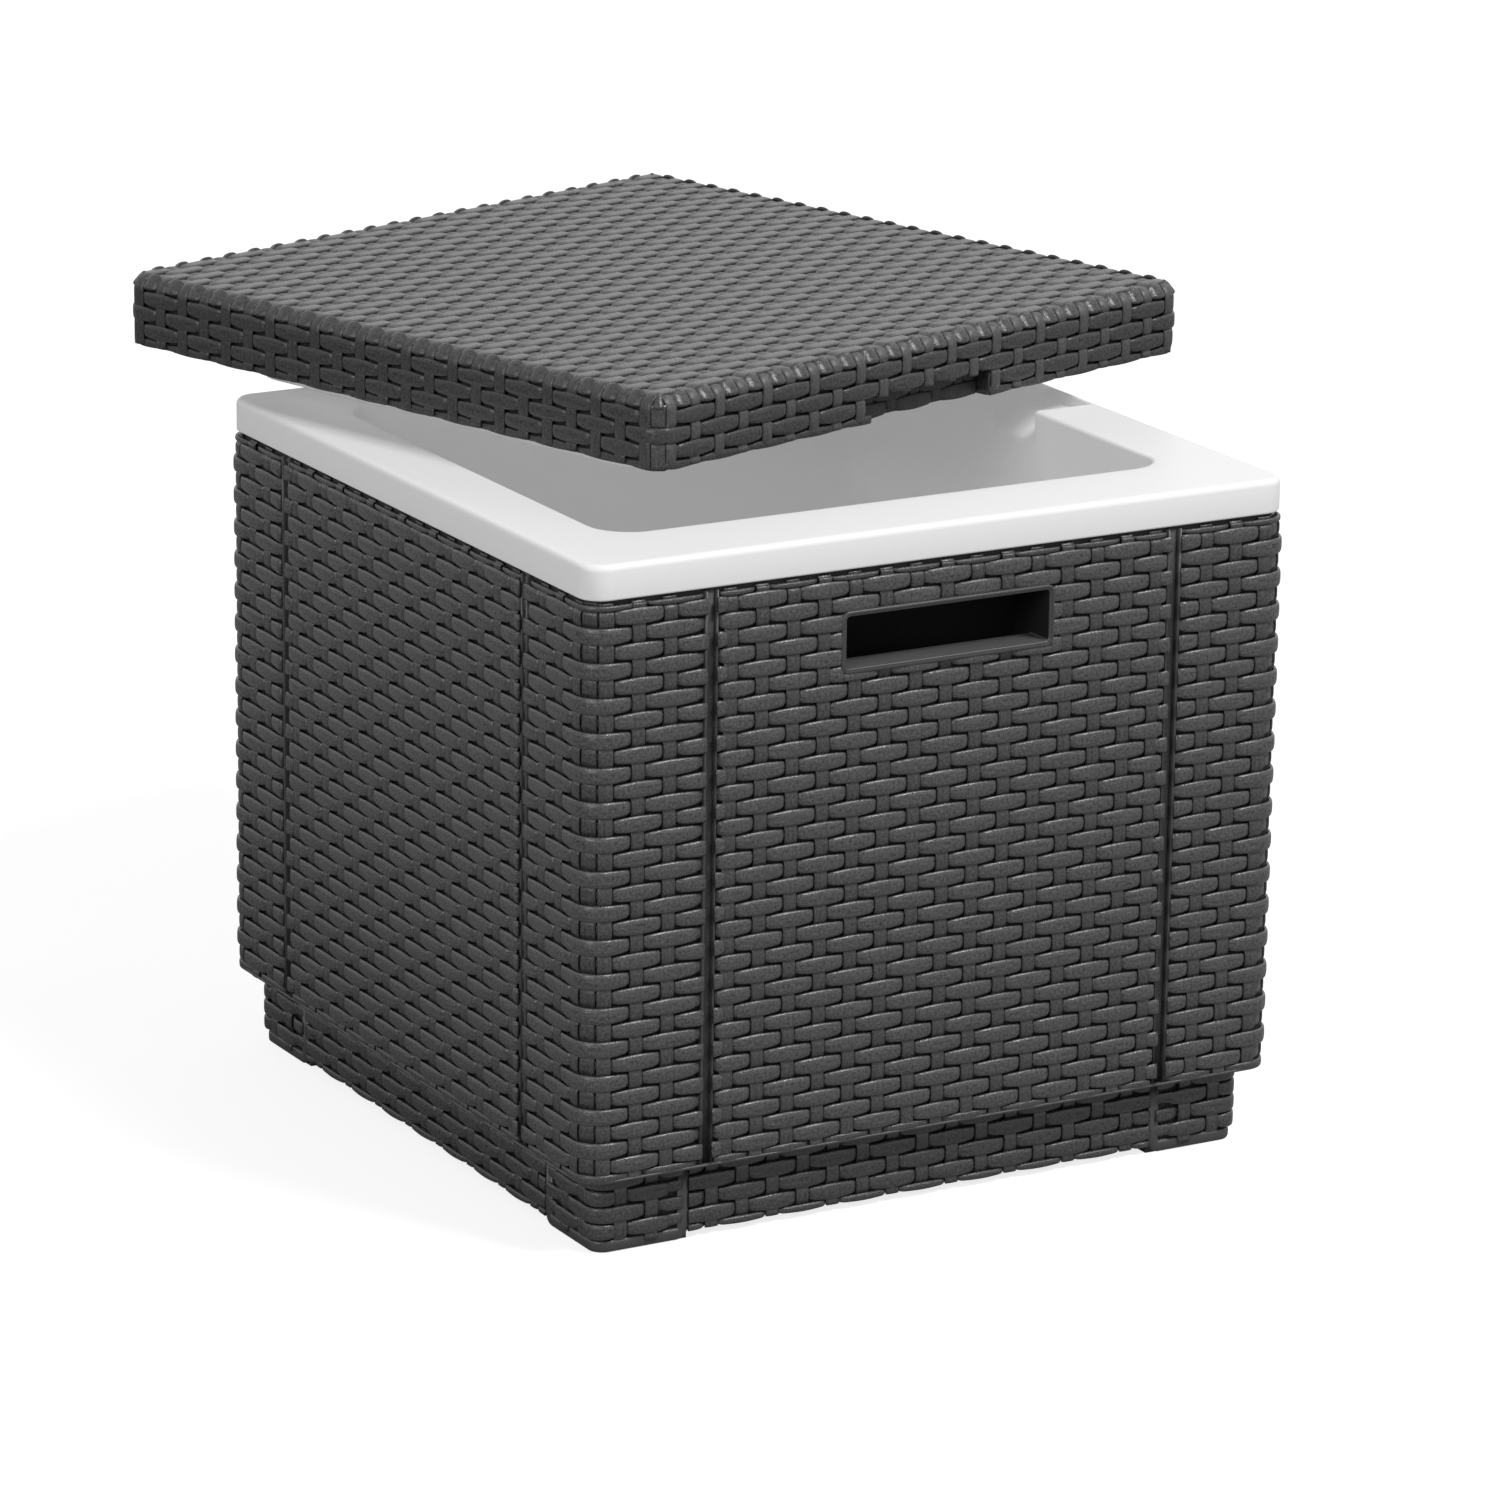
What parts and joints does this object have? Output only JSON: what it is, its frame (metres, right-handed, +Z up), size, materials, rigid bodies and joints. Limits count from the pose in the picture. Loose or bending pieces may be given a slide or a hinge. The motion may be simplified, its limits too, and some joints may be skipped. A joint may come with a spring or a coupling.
{
  "type": "cooler table",
  "caption": "Square insulated cool box in dark woven-look plastic with a white tub; its lift-off lid, shown turned and pushed back on the rim, is the table top.",
  "frame": {"origin": "centre of the box on the floor, midway between the four soles", "axes": "+Z up; -Y is the front with the front hand recess; +X is the right side, which has the finger recess in the rim"},
  "size_m": [0.5104, 0.6127, 0.4283],
  "materials": {
    "woven_dark_plastic": "satin, moulded as woven strips with fine streaks",
    "smooth_dark_plastic": "satin",
    "white_plastic": "satin",
    "insulating_foam": "matt closed-cell foam",
    "screw_steel": "zinc plated"
  },
  "bodies": {
    "box": {"base_tray": "woven_dark_plastic", "foot_front_left": "woven_dark_plastic", "foot_front_right": "woven_dark_plastic", "foot_rear_left": "woven_dark_plastic", "foot_rear_right": "woven_dark_plastic", "corner_post_front_left": "woven_dark_plastic", "corner_post_front_right": "woven_dark_plastic", "corner_post_rear_left": "woven_dark_plastic", "corner_post_rear_right": "woven_dark_plastic", "panel_front": "woven_dark_plastic", "panel_rear": "woven_dark_plastic", "panel_left": "woven_dark_plastic", "panel_right": "woven_dark_plastic", "hand_cup_front": "smooth_dark_plastic", "hand_cup_rear": "smooth_dark_plastic", "foam_floor": "insulating_foam", "foam_front": "insulating_foam", "foam_rear": "insulating_foam", "foam_left": "insulating_foam", "foam_right": "insulating_foam", "tub": "white_plastic", "base_screws": "screw_steel"},
    "lid": {"lid_shell": "woven_dark_plastic", "lid_foam": "insulating_foam", "lid_liner": "white_plastic", "lid_screws": "screw_steel"}
  },
  "joints": [
    {"name": "lid_lift", "type": "slide", "parent": "box", "child": "lid", "axis": [0, 0, 1], "range_m": [0, 0.25]}
  ]
}
